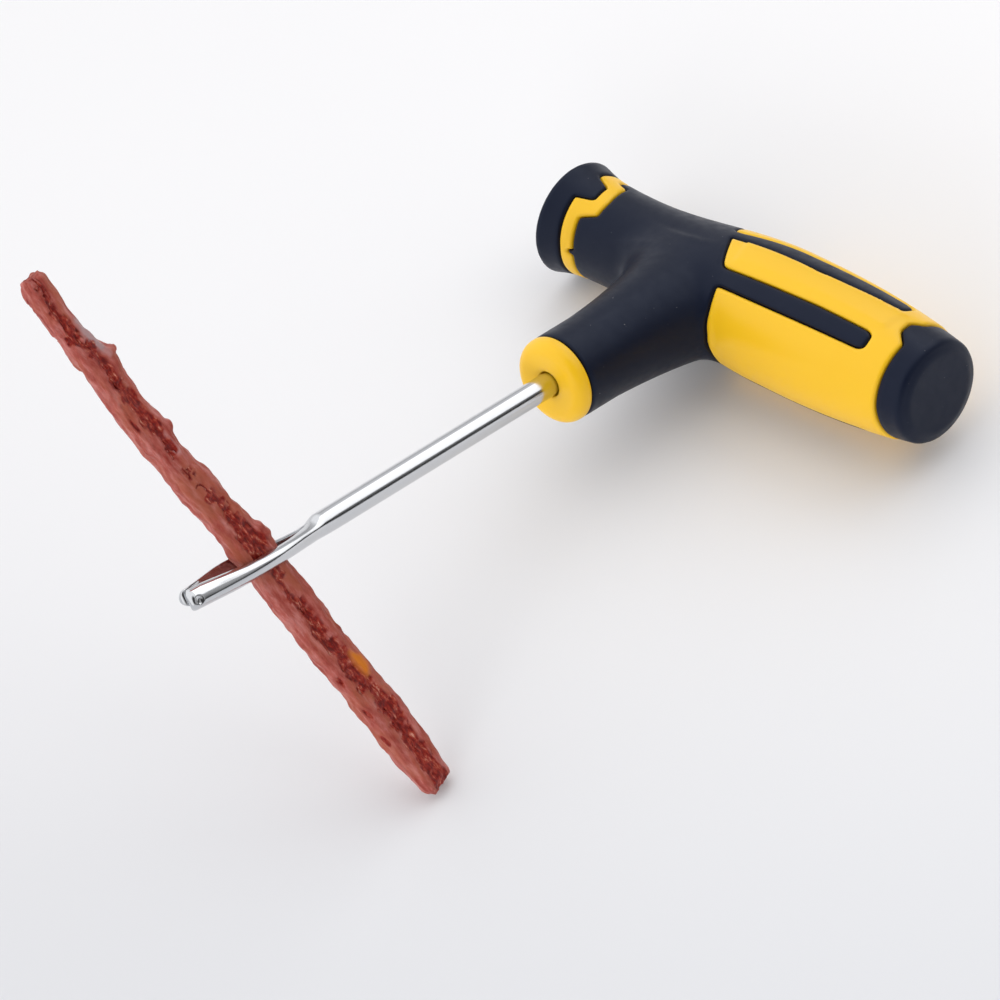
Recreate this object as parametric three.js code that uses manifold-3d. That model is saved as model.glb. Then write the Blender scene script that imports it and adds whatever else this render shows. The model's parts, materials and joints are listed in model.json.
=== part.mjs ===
// Tyre plug insertion tool: a T-handled needle with a split eye, loaded with one rubber plug strip.
//
// The tool is modelled in its own frame, in millimetres, and then laid down. Its origin is where the
// needle's axis crosses the handle's axis: +X runs along the long grip, -Y along the needle to its tip,
// and +Z is square to both. An angle round the handle is measured from +Z towards the needle.
import * as THREE from 'three';
import { mergeVertices } from 'three/addons/utils/BufferGeometryUtils.js';
import Module from 'manifold-3d';

const wasm = await Module();
wasm.setup();

// ---- Driving dimensions ----
const GAP = 0.3; // clearance between neighbouring pieces
const ROUND_SIDES = 32; // facets round the handle's outside
const HIDDEN_SIDES = 16; // facets round the surfaces inside it

// Handle
const LEFT_X = -38.3; // end of the short arm
const RIGHT_X = 61; // end of the long arm
const WAIST_X = -22; // thinnest place of the short arm
const BULGE_X = 20; // where the grip reaches its full girth
const TAPER_X = 26; // where the grip starts to taper to its end
const WAIST_R = 9.9;
const FLARE = 2.1; // the short arm's end is this much thicker than its waist
const BULGE_R = 13.95;
const TAPER = 1.75; // loss of radius over TAPER_LENGTH
const TAPER_LENGTH = 27;
const CAP_STEP = 0.6; // the right end cap lies this much below the grip's surface
const BEVEL = 1.2; // bevel at both ends of the handle
const SKIN = 2.2; // thickness of the soft overmould
const END_WALL = 3; // thickness of the soft overmould over the handle's ends

// Neck, as distances from the handle's axis towards the tip
const NECK_END = 43.1;
const NECK_START = 4;
const NECK_R = 9;
const NECK_DEPTH_R = 11.2; // the neck's half depth where it meets the handle
const FILLET_START = 34; // the neck widens along X from here to the handle
const FILLET_WIDTH = 9;
const FILLET_END = 8;

// Nose collar
const NOSE_END = 46.9;
const NOSE_ROUND = 2.6; // rounding of its front edge
const SPIGOT_END = 44.2; // the core's spigot inside the collar

// Needle, as distances from the handle's axis towards the tip
const SHAFT_R = 2.45;
const TANG_START = 7;
const WING_START = 13;
const WING_LENGTH = 11;
const WING_WIDTH = 8.4;
const WING_THICK = 3;
const SHOULDER = 111.5;
const PRONG_START = 107;
const TIP = 146.5;
const PRONG_WIDTH = 3.7;
const PRONG_THICK = 2.1;
const EYE_ANGLE = 30; // degrees from +X to the line that joins the prongs
const TIP_LIFT = 0.7; // the near prong's bend at its tip, square to that line
const FAR_TIP_LIFT = 1.3; // the far prong's

// Plug strip
const EYE_AT = 126.7; // where the strip crosses the needle
const STRIP_LEAN = 17.3; // degrees that its lower end leans back towards the handle
const STRIP_UP = 75; // length above the needle
const STRAND_HALF_WIDTH = 2.15;
const STRAND_HALF_THICK = 2.1;
const YARN_R = 0.3;
const YARN_BORE_R = 0.6;
const YARN_CIRCLE_R = 0.95;
const YARNS = 3; // in each strand
const STRIP_STEPS = 6;
const STRIP_SHIFT = 0.2; // its middle's offset towards the near prong
const THIN_UP = 0.28; // share of its girth that the strip loses by its upper end
const THIN_DOWN = 0.1; // and by its lower end
const STRIP_DOWN = 58; // about its length below the needle; the table settles it
const YARN_RECESS = 0.5; // the yarns end this far inside the rubber

// How the tool lies on its table
const NEEDLE_RISE = 17.6; // degrees
const GRIP_RISE = 2.65; // degrees, because the grip is thicker than the short arm

const radians = THREE.MathUtils.degToRad;

// Borders between the colours, as [angle, x] round the half that starts at the handle's back. The
// other half mirrors it in the plane of the T.
const CAP_EDGE_LEFT = [[-90, -33], [-17, -33], [-6, -29], [19, -28.9], [27, -32.6], [90, -32.5]];
const SADDLE_EDGE_LEFT = [[-90, -29.2], [-28, -29.2], [-22, -25.8], [35, -25.4], [44, -28.8], [90, -28.7]];
const SADDLE_EDGE_RIGHT = [[-90, 0.5], [-25, 2.2], [-9, 4.2], [27, 9.3], [44, 10.6], [68, 11.5], [90, 11.8]];
const CAP_EDGE_RIGHT = [[-90, 54.6], [-19, 54.6], [-8, 52.8], [7, 53], [18, 55.8], [90, 55.7]];

// The saddle's fingers on the grip, each between two angles.
const FINGERS = [[-24.8, -9.2], [25.5, 42.2]];
const FINGER_END = 49.3; // distance along X where they all end
const FINGER_CLEARANCE = 1.3; // degrees between a finger's side and the grip

const COLOURS = {
  steel: { color: 0xc9ccd1, roughness: 0.12, metalness: 1 },
  hardYellow: { color: 0xf7c51e, roughness: 0.4, metalness: 0 },
  softBlack: { color: 0x23242c, roughness: 0.6, metalness: 0 },
  plugRubber: { color: 0x8c3426, roughness: 0.5, metalness: 0 },
  yarn: { color: 0xb06a45, roughness: 0.9, metalness: 0 },
};

// ---- Solids: three.js geometry in, boolean result out ----

// A closed geometry as a solid, with its faces turned outward.
function solid(geometry) {
  const bare = geometry.clone();
  bare.deleteAttribute('normal');
  bare.deleteAttribute('uv');
  const merged = mergeVertices(bare, 1e-4);
  const place = merged.attributes.position.array;
  const corners = [];
  for (let i = 0; i < merged.index.count; i += 3) {
    const [a, b, c] = merged.index.array.slice(i, i + 3);
    if (a !== b && b !== c && c !== a) corners.push(a, b, c);
  }
  if (signedVolume(place, corners) < 0) corners.reverse();
  return new wasm.Manifold(new wasm.Mesh({
    numProp: 3,
    vertProperties: new Float32Array(place),
    triVerts: new Uint32Array(corners),
  }));
}

function signedVolume(place, corners) {
  let sum = 0;
  const [a, b, c] = [new THREE.Vector3(), new THREE.Vector3(), new THREE.Vector3()];
  for (let i = 0; i < corners.length; i += 3) {
    a.fromArray(place, corners[i] * 3);
    b.fromArray(place, corners[i + 1] * 3);
    c.fromArray(place, corners[i + 2] * 3);
    sum += a.dot(b.cross(c));
  }
  return sum / 6;
}

// A finished solid as a named mesh.
function piece(name, shape, colour) {
  const result = shape.getMesh();
  const geometry = new THREE.BufferGeometry();
  geometry.setAttribute('position', new THREE.BufferAttribute(result.vertProperties, 3));
  geometry.setIndex(new THREE.BufferAttribute(result.triVerts, 1));
  geometry.computeVertexNormals();
  const mesh = new THREE.Mesh(geometry, new THREE.MeshStandardMaterial(COLOURS[colour]));
  mesh.name = name;
  return mesh;
}

// A profile of [radius, distance] points turned round the handle's axis, or round the needle's.
function turned(profile, sides, axis) {
  const geometry = new THREE.LatheGeometry(profile.map(([r, d]) => new THREE.Vector2(r, d)), sides);
  if (axis === 'handle') geometry.rotateZ(-Math.PI / 2);
  else geometry.rotateX(Math.PI);
  return solid(geometry);
}

// A flat section extruded in steps from one distance to another, with each point then placed.
function swept(section, from, to, steps, placeAt) {
  const geometry = new THREE.ExtrudeGeometry(section, { depth: to - from, steps, bevelEnabled: false });
  const place = geometry.attributes.position;
  for (let i = 0; i < place.count; i += 1) {
    const at = placeAt(place.getX(i), place.getY(i), place.getZ(i) + from);
    place.setXYZ(i, at.x, at.y, at.z);
  }
  return solid(geometry);
}

function ellipse(halfWidth, halfHeight, sides) {
  const points = [];
  for (let i = 0; i < sides; i += 1) {
    const turn = (i / sides) * 2 * Math.PI;
    points.push(new THREE.Vector2(halfWidth * Math.cos(turn), halfHeight * Math.sin(turn)));
  }
  return new THREE.Shape(points);
}

// ---- Handle shape ----

// The handle's radius at a distance along its axis.
function handleRadius(x) {
  if (x < WAIST_X) return WAIST_R + FLARE * ((WAIST_X - x) / (WAIST_X - LEFT_X)) ** 3;
  if (x < BULGE_X) {
    const ramp = (1 - Math.cos((Math.PI * (x - WAIST_X)) / (BULGE_X - WAIST_X))) / 2;
    return WAIST_R + (BULGE_R - WAIST_R) * ramp;
  }
  return BULGE_R - TAPER * (Math.max(0, x - TAPER_X) / TAPER_LENGTH) ** 2;
}

function sidesFor(inset) {
  return inset > CAP_STEP ? HIDDEN_SIDES : ROUND_SIDES;
}

// The handle's arms, lowered by an inset and shortened at each end. Bare ends have a bevel.
function arms(inset, endInset) {
  const bevel = endInset > 0 ? 0 : BEVEL;
  const [from, to] = [LEFT_X + endInset, RIGHT_X - endInset];
  const profile = [[0, from], [handleRadius(from) - inset - bevel, from]];
  const steps = inset > CAP_STEP ? 10 : 14;
  for (let i = 0; i <= steps; i += 1) {
    const x = from + bevel + ((to - from - 2 * bevel) * i) / steps;
    profile.push([handleRadius(x) - inset, x]);
  }
  profile.push([handleRadius(to) - inset - bevel, to], [0, to]);
  return turned(profile, sidesFor(inset), 'handle');
}

// The neck, which widens along X into the handle, lowered by an inset and cut off at its end.
function neck(inset, end) {
  const longest = SPIGOT_END + 2;
  const whole = swept(ellipse(1, 1, sidesFor(inset)), NECK_START, longest, 9, (u, v, s) => {
    const near = THREE.MathUtils.clamp((FILLET_START - s) / (FILLET_START - FILLET_END), 0, 1);
    const halfWidth = NECK_R + FILLET_WIDTH * (1 - Math.sqrt(1 - near ** 2)) - inset;
    const halfDepth = NECK_R + (NECK_DEPTH_R - NECK_R) * near - inset;
    return new THREE.Vector3(u * halfWidth, -s, v * halfDepth);
  });
  return whole.subtract(turned([[0, end], [30, end], [30, end + 20], [0, end + 20]], 8, 'needle'));
}

function tee(inset, endInset, neckEnd) {
  return arms(inset, endInset).add(neck(inset, neckEnd));
}

// The whole border round the handle: both halves, with points no more than 8 degrees apart.
function fullBorder(half) {
  const mirrored = half.map(([angle, x]) => [180 - angle, x]).reverse();
  const corners = [...half, ...mirrored.slice(1)];
  const points = [];
  for (let i = 0; i + 1 < corners.length; i += 1) {
    const [a, b] = [corners[i], corners[i + 1]];
    const parts = Math.max(1, Math.ceil((b[0] - a[0]) / 8));
    for (let k = 0; k < parts; k += 1) {
      points.push([a[0] + ((b[0] - a[0]) * k) / parts, a[1] + ((b[1] - a[1]) * k) / parts]);
    }
  }
  return points;
}

// All the space on one side of a border, from the border moved by shift out to farX.
function beyond(half, shift, farX) {
  const border = fullBorder(half);
  const radii = [0, 2, 8, 11, 14, 60, 60, 0];
  const flat = radii.map((r) => new THREE.Vector2(r, 0));
  const geometry = new THREE.LatheGeometry(flat, border.length);
  const place = geometry.attributes.position;
  const middle = border[0][1] + shift;
  for (let column = 0; column <= border.length; column += 1) {
    const [angle, x] = border[column % border.length];
    const turn = radians(angle);
    radii.forEach((r, row) => {
      const onBorder = row === 0 ? middle : x + shift;
      const along = row < radii.length - 2 ? onBorder : farX;
      place.setXYZ(column * radii.length + row, along, -r * Math.sin(turn), r * Math.cos(turn));
    });
  }
  return solid(geometry);
}

// ---- Needle ----

const across = new THREE.Vector3(Math.cos(radians(EYE_ANGLE)), 0, Math.sin(radians(EYE_ANGLE)));
const square = new THREE.Vector3(Math.sin(radians(EYE_ANGLE)), 0, -Math.cos(radians(EYE_ANGLE)));

// A prong's middle line: distance from the handle's axis and offset towards the near side.
function prongLine(points) {
  return new THREE.CatmullRomCurve3(points.map(([s, offset]) => new THREE.Vector3(offset, s, 0)));
}

const NEAR_PRONG = prongLine([[PRONG_START, 1], [SHOULDER, 1.5], [116, 3], [120, 3.85], [EYE_AT, 4.1],
  [130.5, 3.6], [138, 2.3], [TIP, 1.4]]);
const FAR_PRONG = prongLine([[PRONG_START, -1], [SHOULDER, -1.3], [116, -2.4], [120, -3.2], [126, -4.1],
  [131, -4.1], [138, -2.9], [TIP, -1.4]]);

function prong(line, lift) {
  const steps = 15;
  const rounding = 2.2; // length of the rounded tip
  const section = ellipse(PRONG_WIDTH / 2, PRONG_THICK / 2, 12);
  return swept(section, 0, 1, steps, (u, v, t) => {
    const at = line.getPoint(t);
    const slope = line.getTangent(t);
    const toTip = THREE.MathUtils.clamp((TIP - at.y) / rounding, 0, 1);
    const size = Math.max(0.35, Math.sqrt(1 - (1 - toTip) ** 2));
    const towardsTip = Math.max(0, (at.y - SHOULDER) / (TIP - SHOULDER));
    const out = at.x + v * size * slope.y;
    const s = at.y - v * size * slope.x;
    return new THREE.Vector3(0, -s, 0)
      .addScaledVector(across, out)
      .addScaledVector(square, u * size - lift * towardsTip ** 2);
  });
}

function shaft(grow) {
  const r = SHAFT_R + grow;
  const [from, to] = [TANG_START - grow, SHOULDER];
  return turned([[0, from], [r, from], [r, to - 1.5], [r * 0.74, to + 2.5], [0, to + 2.5]], 20, 'needle');
}

function wings(grow) {
  const [w, l, t] = [WING_WIDTH, WING_LENGTH, WING_THICK].map((size) => size + 2 * grow);
  const geometry = new THREE.BoxGeometry(w, l, t);
  geometry.translate(0, -(WING_START + WING_LENGTH / 2), 0);
  return solid(geometry);
}

function needle() {
  return shaft(0).add(wings(0)).add(prong(NEAR_PRONG, TIP_LIFT)).add(prong(FAR_PRONG, FAR_TIP_LIFT));
}

// ---- Handle pieces ----

function noseCollar() {
  const from = NECK_END + GAP;
  const spigotRoom = NECK_R - SKIN;
  const profile = [[spigotRoom, SPIGOT_END + GAP], [spigotRoom, from], [NECK_R, from]];
  for (let turn = 0; turn <= 90; turn += 22.5) {
    const r = NECK_R - NOSE_ROUND * (1 - Math.cos(radians(turn)));
    profile.push([r, NOSE_END - NOSE_ROUND * (1 - Math.sin(radians(turn)))]);
  }
  profile.push([SHAFT_R + GAP, NOSE_END], [SHAFT_R + GAP, SPIGOT_END + GAP], profile[0]);
  return turned(profile, ROUND_SIDES, 'needle');
}

// The distance along X of a border at an angle.
function borderAt(half, angle) {
  const after = half.findIndex(([corner]) => corner > angle);
  const [a, b] = [half[after - 1], half[after]];
  return a[1] + ((b[1] - a[1]) * (angle - a[0])) / (b[0] - a[0]);
}

// The saddle's border on the grip, with every finger widened by an angle on each side.
function fingeredEdge(widening) {
  const slant = 0.4; // degrees that each of a finger's sides leans
  const isBare = ([angle]) => FINGERS.every(([from, to]) => angle < from - widening || angle > to + widening);
  const border = SADDLE_EDGE_RIGHT.filter(isBare);
  for (const [from, to] of FINGERS) {
    const [start, end] = [from - widening, to + widening];
    border.push([start, borderAt(SADDLE_EDGE_RIGHT, start)], [start + slant, FINGER_END]);
    border.push([end - slant, FINGER_END], [end, borderAt(SADDLE_EDGE_RIGHT, end)]);
  }
  return border.sort((p, q) => p[0] - q[0]);
}

function saddleGrip() {
  const onSaddle = beyond(SADDLE_EDGE_LEFT, 0, 100).intersect(beyond(fingeredEdge(0), 0, -100));
  return tee(0, 0, NECK_END).intersect(onSaddle).subtract(tee(SKIN, END_WALL, NECK_END + 1));
}

function leftEndCap() {
  return arms(0, 0).intersect(beyond(CAP_EDGE_LEFT, 0, -100)).subtract(arms(SKIN, END_WALL));
}

function rightEndCap() {
  return arms(CAP_STEP, 0).intersect(beyond(CAP_EDGE_RIGHT, 0, 100)).subtract(arms(SKIN, END_WALL));
}

function handleCore() {
  const hidden = tee(SKIN + GAP, END_WALL + GAP, SPIGOT_END);
  const band = beyond(CAP_EDGE_LEFT, GAP, 100).intersect(beyond(SADDLE_EDGE_LEFT, -GAP, -100));
  const grip = beyond(fingeredEdge(FINGER_CLEARANCE), GAP, 100).intersect(beyond(CAP_EDGE_RIGHT, -GAP, -100));
  const shown = arms(0, 0).intersect(band.add(grip));
  return hidden.add(shown).subtract(shaft(GAP)).subtract(wings(GAP));
}

// ---- Plug strip ----

const lean = radians(STRIP_LEAN);
const stripDown = square.clone().multiplyScalar(Math.cos(lean)).add(new THREE.Vector3(0, Math.sin(lean), 0));
const stripWide = square.clone().multiplyScalar(-Math.sin(lean)).add(new THREE.Vector3(0, Math.cos(lean), 0));
const stripMiddle = new THREE.Vector3(0, -EYE_AT, 0).addScaledVector(across, STRIP_SHIFT);

// A long solid along the strip, between two distances from the needle, side by side with its twin.
function alongStrip(section, side, from, to, steps) {
  return swept(section, from, to, steps, (u, v, t) => {
    const girth = t < 0 ? 1 - THIN_UP * (t / STRIP_UP) ** 2 : 1 - THIN_DOWN * (t / STRIP_DOWN) ** 2;
    return stripMiddle.clone()
      .addScaledVector(stripDown, t)
      .addScaledVector(stripWide, side * GAP / 2 + (side * STRAND_HALF_WIDTH + u) * girth)
      .addScaledVector(across, v * girth);
  });
}

function yarnCentres() {
  return Array.from({ length: YARNS }, (_, i) => {
    const turn = (i / YARNS) * 2 * Math.PI + Math.PI / 2;
    return new THREE.Vector2(Math.cos(turn), Math.sin(turn)).multiplyScalar(YARN_CIRCLE_R);
  });
}

function circleAt(centre, radius, sides) {
  return ellipse(radius, radius, sides).getPoints().map((p) => p.add(centre));
}

function strand(side, down) {
  const section = ellipse(STRAND_HALF_WIDTH, STRAND_HALF_THICK, 14);
  section.holes = yarnCentres().map((centre) => new THREE.Path(circleAt(centre, YARN_BORE_R, 8)));
  return alongStrip(section, side, -STRIP_UP, down, STRIP_STEPS);
}

function yarn(side, centre, down) {
  const section = new THREE.Shape(circleAt(centre, YARN_R, 6));
  return alongStrip(section, side, YARN_RECESS - STRIP_UP, down - YARN_RECESS, STRIP_STEPS);
}

// ---- Assembly ----

function tool() {
  const group = new THREE.Group();
  group.add(piece('needle', needle(), 'steel'));
  group.add(piece('handle_core', handleCore(), 'hardYellow'));
  group.add(piece('nose_collar', noseCollar(), 'hardYellow'));
  group.add(piece('saddle_grip', saddleGrip(), 'softBlack'));
  group.add(piece('left_end_cap', leftEndCap(), 'softBlack'));
  group.add(piece('right_end_cap', rightEndCap(), 'softBlack'));
  return group;
}

function plugStrip(down) {
  const group = new THREE.Group();
  for (const [place, side] of [['front', -1], ['rear', 1]]) {
    group.add(piece(`strip_strand_${place}`, strand(side, down), 'plugRubber'));
    yarnCentres().forEach((centre, i) => {
      group.add(piece(`yarn_${place}_${i + 1}`, yarn(side, centre, down), 'yarn'));
    });
  }
  return group;
}

// The tool lies on its short arm's rim and on its grip, and the strip's lower end props up the needle.
function assembly() {
  const lying = new THREE.Group();
  lying.rotation.set(radians(-NEEDLE_RISE), radians(-GRIP_RISE), 0, 'YXZ');
  lying.add(tool());
  lying.updateMatrixWorld(true);
  const table = new THREE.Box3().setFromObject(lying, true).min.z;

  const height = (v) => v.clone().applyEuler(lying.rotation).z;
  const wideEdge = Math.abs(height(stripWide)) * (STRAND_HALF_WIDTH + GAP / 2);
  const roundEdge = Math.hypot(height(stripWide) * STRAND_HALF_WIDTH, height(across) * STRAND_HALF_THICK);
  const drop = height(stripMiddle) - table - (wideEdge + roundEdge) * (1 - THIN_DOWN);
  lying.add(plugStrip(drop / -height(stripDown)));

  const whole = new THREE.Group();
  whole.add(lying);
  whole.updateMatrixWorld(true);
  const box = new THREE.Box3().setFromObject(whole, true);
  const centre = box.getCenter(new THREE.Vector3());
  whole.position.set(-centre.x, -centre.y, -box.min.z);
  return whole;
}

export default assembly();
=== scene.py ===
"""The tyre plug insertion tool as it looks: detailed pieces and their materials, on a pale floor.

Lengths are in millimetres in the tool's own frame until a piece is made, and then in metres in the
row's. The tool's frame starts where the needle's axis crosses the handle's: +X runs along the long
grip, -Y along the needle to its tip, and +Z is square to both. An angle round the handle is
measured from +Z towards the needle, and s is a distance along the needle from the handle's axis.
"""
import json
import math

import bpy
import bmesh
import numpy as np
from mathutils import Matrix, Vector, noise
from mathutils.geometry import delaunay_2d_cdt
from mathutils.kdtree import KDTree


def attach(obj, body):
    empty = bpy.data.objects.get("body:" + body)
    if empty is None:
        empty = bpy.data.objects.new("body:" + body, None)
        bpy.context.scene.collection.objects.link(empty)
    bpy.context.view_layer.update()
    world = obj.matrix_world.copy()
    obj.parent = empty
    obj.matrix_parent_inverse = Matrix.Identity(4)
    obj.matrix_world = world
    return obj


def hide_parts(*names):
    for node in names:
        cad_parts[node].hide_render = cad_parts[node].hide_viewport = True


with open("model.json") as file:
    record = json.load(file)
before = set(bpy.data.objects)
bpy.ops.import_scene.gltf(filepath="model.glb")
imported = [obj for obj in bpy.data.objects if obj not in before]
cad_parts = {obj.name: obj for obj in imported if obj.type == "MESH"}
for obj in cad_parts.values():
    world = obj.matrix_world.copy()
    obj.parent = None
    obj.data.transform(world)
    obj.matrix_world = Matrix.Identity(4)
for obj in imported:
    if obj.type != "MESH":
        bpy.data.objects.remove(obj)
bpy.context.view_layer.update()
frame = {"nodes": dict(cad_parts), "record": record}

# ---- The tool's frame ----
MM = 0.001
MERGE, SLIVER = 0.004, 0.0005  # points closer than this are merged, and thinner faces dissolved
NEEDLE_RISE = 17.6  # degrees
GRIP_RISE = 2.65
LEFT_X = -38.3
RIGHT_X = 61.0

# ---- Handle ----
WAIST_X, BULGE_X, TAPER_X = -22.0, 20.0, 26.0
WAIST_R, BULGE_R = 9.9, 13.95
FLARE = 2.1
TAPER, TAPER_LENGTH = 1.75, 27.0
CAP_STEP = 0.3  # the right end cap lies this much below the grip
NECK_START, NECK_END = 4.0, 43.1
NECK_R, NECK_DEPTH_R = 9.0, 11.2
FILLET_START, FILLET_END = 34.0, 8.0
FILLET_WIDTH_LEFT, FILLET_WIDTH_RIGHT = 9.0, 7.0
MELT = 2.5  # how widely the neck and the arms melt into each other
COLLAR_S = 18.0  # where the neck's own mesh takes over from the arms'
GIRTH_R = 12.0  # radius that turns an angle round the handle into a distance
PERIOD = 2 * math.pi * GIRTH_R
SEAM = -math.pi / 2 * GIRTH_R
NOSE_END = 46.9
NOSE_R, NOSE_ROUND = 9.0, 2.6

# An end's profile as (distance back from the end, drop below the arm's surface).
END_PROFILE = [(1.6, 0), (1.15, 0.03), (0.95, 0.12), (0.8, 0.28), (0.3, 1.5), (0.12, 1.85), (0, 2.2)]

# Borders as (angle, x) along the half from the handle's back over its top to the needle's side.
CAP_EDGE_LEFT = [(-90, -33), (-19, -33.2), (-15, -33), (-5, -29.2), (19, -28.8), (26, -32.8), (90, -32.3)]
SADDLE_EDGE_LEFT = [
    (-90, -29.2), (-28, -29.2), (-23, -26.3), (13, -25.3), (36, -25.5), (46, -29.1),
    (87.4, -28.7), (88, -30), (90, -30),
]
SADDLE_EDGE_RIGHT = [
    (-90, 0.5), (-21, 2.6), (-17.5, 3.2), (-16.5, 5.5), (-22.5, 13), (-27, 20), (-30, 32), (-36, 46.3),
    (-34, 48), (-19, 48.2), (-17.5, 46.8), (-11, 36), (-8, 24), (-4.5, 8), (-4, 4.9), (27, 8.9),
    (30.5, 9.8), (30.5, 11.5), (28, 22), (25.3, 35), (24.3, 47.4), (27, 48.6), (39, 48.6),
    (42, 47.4), (43.2, 36), (45, 22), (46.3, 11.5), (47.5, 10.7), (68, 11.3), (90, 11.8),
]
CAP_EDGE_RIGHT = [(-90, 54.6), (-19, 54.3), (-8, 52.4), (6, 52.8), (18, 55.4), (42, 55.2), (90, 54.8)]

# Lips as (distance inside the border, depth below the surface), from the surface down.
BLACK_LIP = [(0.7, 0), (0.42, 0.05), (0.2, 0.15), (0.06, 0.32), (0, 0.95), (-0.6, 1.0)]
YELLOW_LIP = [(1.0, 0), (0.75, 0.05), (0.5, 0.17), (0.33, 0.38), (0.26, 0.62), (0.24, 1.15)]

# The raised pad on the grip's upper panel, as (angle, x) corners.
PAD = [(-12, 9), (22, 11.5), (17, 30), (15, 49.8), (-15, 50.2), (-5, 28)]
PAD_HEIGHT = 0.3
PAD_SLOPE = 0.8  # width of the slope round the pad

# The borders part the handle's skin into five regions, numbered from the left end.
LEFT_REGION, BAND_REGION, SADDLE_REGION, GRIP_REGION, RIGHT_REGION = range(5)
GRID_SPACING = 0.75
GRID_CLEARANCE = 0.35  # grid points stay this far from the rows of points round the neck
NECK_ROWS = (17.2, 16.4, 15.6, 14.8)  # extra rows round the neck, by distance along it
SEAM_MARGIN = 4.0  # how much of the skin is repeated past the seam while it is cut into triangles

# ---- Needle ----
SHAFT_R = 2.45
FORK_S = 112.5  # where the slit between the prongs starts
TIP_S = 146.5
EYE_ANGLE = 30.0  # degrees from +X to the line that joins the prongs
# A prong's flat inner side and its rounded outer side, by s, as distances from the needle's axis.
NEAR_FLAT = [
    (112.5, 0), (115, 0.8), (118, 1.9), (121, 2.7), (125, 3.1), (129, 2.9), (134, 2.0), (140, 0.8),
    (147, 0.15),
]
NEAR_CROWN = [
    (100, SHAFT_R), (108, 2.5), (112, 2.8), (116, 3.6), (120, 4.5), (125, 5.1), (130, 4.8), (136, 3.8),
    (141, 2.9), (147, 2.4),
]
FAR_FLAT = [
    (112.5, 0), (115, 0.8), (118, 1.9), (121, 2.75), (125, 3.2), (129, 3.8), (132, 4.0), (135, 3.5),
    (138, 2.5), (141, 1.4), (144, 0.6), (147, 0.2),
]
FAR_CROWN = [
    (100, SHAFT_R), (108, 2.5), (112, 2.8), (116, 3.5), (120, 4.5), (125, 5.3), (129, 5.9), (132, 6.0),
    (135, 5.5), (138, 4.5), (141, 3.5), (144, 2.7), (147, 2.3),
]
# Half-heights above and below the needle's axis, and how far the far prong bends upwards.
NEAR_ABOVE = [
    (40, SHAFT_R), (110.4, SHAFT_R), (111.2, 2.15), (112.4, 1.6), (114.5, 1.35), (119, 1.3), (123.4, 1.38),
    (128, 1.45), (132, 1.62), (136, 2.05), (139, 2.4), (142.5, 2.8), (147, 2.9),
]
FAR_ABOVE = [
    (40, SHAFT_R), (110.4, SHAFT_R), (111.2, 2.15), (112.4, 1.6), (114.5, 1.35), (118, 1.32), (123, 1.6),
    (130, 1.9), (147, 2.0),
]
BELOW = [
    (40, SHAFT_R), (108, SHAFT_R), (113, 2.3), (118, 2.0), (123.5, 1.85), (129, 1.98), (134.8, 2.05),
    (139, 1.93), (147, 1.5),
]
FAR_RISE = [(116, 0), (122, 0.2), (127, 0.7), (132, 1.0), (147, 1.1)]
TIP_ROUND = 1.4
DIMPLE_S, DIMPLE_B, DIMPLE_R, DIMPLE_DEPTH = 144.9, -0.2, 0.8, 0.5

# ---- Plug strip ----
EYE_S = 126.7
STRIP_LEAN = 17.3
STRIP_SHIFT = 0.2
STRIP_UP = 73.6
LOWER_END_SHORT = 1.0  # how far the rounded lower end stays above the CAD solid's
STRAND_THICK = 2.3
STRAND_STEP = 0.33
END_ROUND = 1.3
YARNS = 3  # in each strand
YARN_R = 0.3
YARN_RECESS = 2.0  # the yarns end this far inside the rubber
YARN_CIRCLE = 0.4  # how far they lie from a strand's middle, as a share of its half-width
# Half the strip's width and its sideways sway, by distance down from the needle.
STRIP_GIRTH = [
    (-75, 2.8), (-66, 2.8), (-61, 2.5), (-52, 4), (-45, 3.3), (-34, 3.8), (-29, 3.2), (-21, 4.2),
    (-14, 3.6), (-6, 4.4), (7, 4.6), (20, 4.3), (30, 4.1), (42, 4.4), (52, 4), (60, 3.5),
]
STRIP_SWAY = [
    (-75, 0.2), (-62, -0.8), (-52, 0), (-42, -0.8), (-25, -0.8), (-16, -0.2), (-7, 0.3), (7, 0.2),
    (20, -0.2), (38, 0), (52, -0.4),
]
SEAM_ACROSS = -0.3  # where the two strands meet
SEAM_OVERLAP = 0.8
# The near prong flattens the strip to this, and by this share more towards the tip.
EYE_ROOM, EYE_NARROWING = 2.45, 0.2
# The torn crevice as (distance down, distance across, half-width).
CREVICE = [
    (-75, 0, 0.4), (-67, -1, 0.9), (-60, -0.6, 1.2), (-54, -0.4, 1.1), (-47, 0.3, 1.4), (-41, 0, 1.2),
    (-36, 0.5, 1.2), (-30, 0, 0.6), (-26, -0.9, 0.5), (-20, 0, 0.25), (-14, 0.3, 0.9), (-8, 0, 2.0),
    (-3, 0, 2.6), (2, 0, 1.2), (7, -0.8, 0.5), (11, -0.5, 0.8), (17, -0.6, 1.3), (22, -0.7, 1.3),
    (28, -0.8, 1.4), (32, 0, 1.0), (36, 0.4, 1.5), (42, 0.2, 1.6), (47, 0, 1.3), (52, 0, 1.8), (60, 0, 2),
]
# Bumps on the strip's edge as (distance down, half-length, height).
EDGE_BUMPS = [(-52.7, 0.8, 0.8), (-33.6, 1.2, 0.6), (-4.5, 1.9, 0.9)]
# Places on the strip as (distance down, distance across, length, width).
ORANGE_SPOTS = [(28.5, 1.8, 3.1, 1.1)]
# The pale patches are painted highlights.
HIGHLIGHT_PATCHES = [(-58, 2.0, 4.8, 1.2), (-30.5, 0.8, 2.8, 0.7)]

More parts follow.
